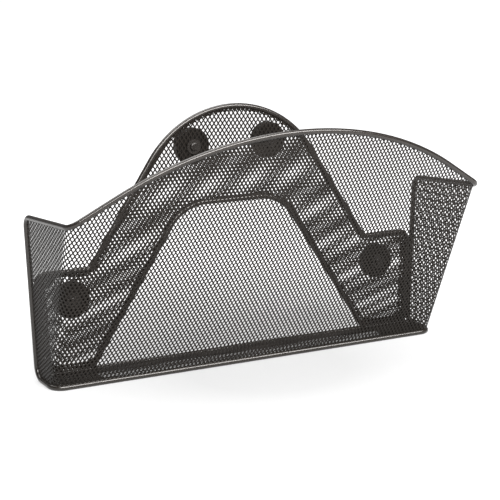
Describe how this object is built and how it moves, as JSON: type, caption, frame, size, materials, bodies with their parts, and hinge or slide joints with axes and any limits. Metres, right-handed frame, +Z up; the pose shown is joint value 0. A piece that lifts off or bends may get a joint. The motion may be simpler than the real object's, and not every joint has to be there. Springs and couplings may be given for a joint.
{
  "type": "magnetic wall file pocket",
  "caption": "Black wire-edged mesh pocket with a low curved front and an arched back that hangs from magnets on a steel surface and holds letter-size files upright.",
  "frame": {"origin": "middle of the footprint, at the level the object stands on", "axes": "+X to the right across the width as seen from the front, +Y from the open front towards the wall and the magnets, +Z up"},
  "size_m": [0.33, 0.115, 0.1888],
  "materials": {
    "mesh": "satin powder coat",
    "wire": "satin powder coat",
    "housing": "satin powder coat",
    "magnet": "matt ferrite",
    "washer": "satin powder coat",
    "rivet": "satin powder coat"
  },
  "bodies": {
    "root": {"pocket_mesh": "mesh", "floor_mesh": "mesh", "back_mesh": "mesh", "front_rim_wire": "wire", "front_bottom_wire": "wire", "side_wire_left": "wire", "side_wire_right": "wire", "back_bottom_wire": "wire", "back_arch_wire": "wire", "back_opening_wire": "wire", "magnet_housing_top_left": "housing", "magnet_housing_top_right": "housing", "magnet_housing_foot_left": "housing", "magnet_housing_foot_right": "housing", "magnet_top_left": "magnet", "magnet_top_right": "magnet", "magnet_foot_left": "magnet", "magnet_foot_right": "magnet", "washer_top_left": "washer", "washer_top_right": "washer", "washer_foot_left": "washer", "washer_foot_right": "washer", "rivet_top_left": "rivet", "rivet_top_right": "rivet", "rivet_foot_left": "rivet", "rivet_foot_right": "rivet"}
  },
  "joints": []
}
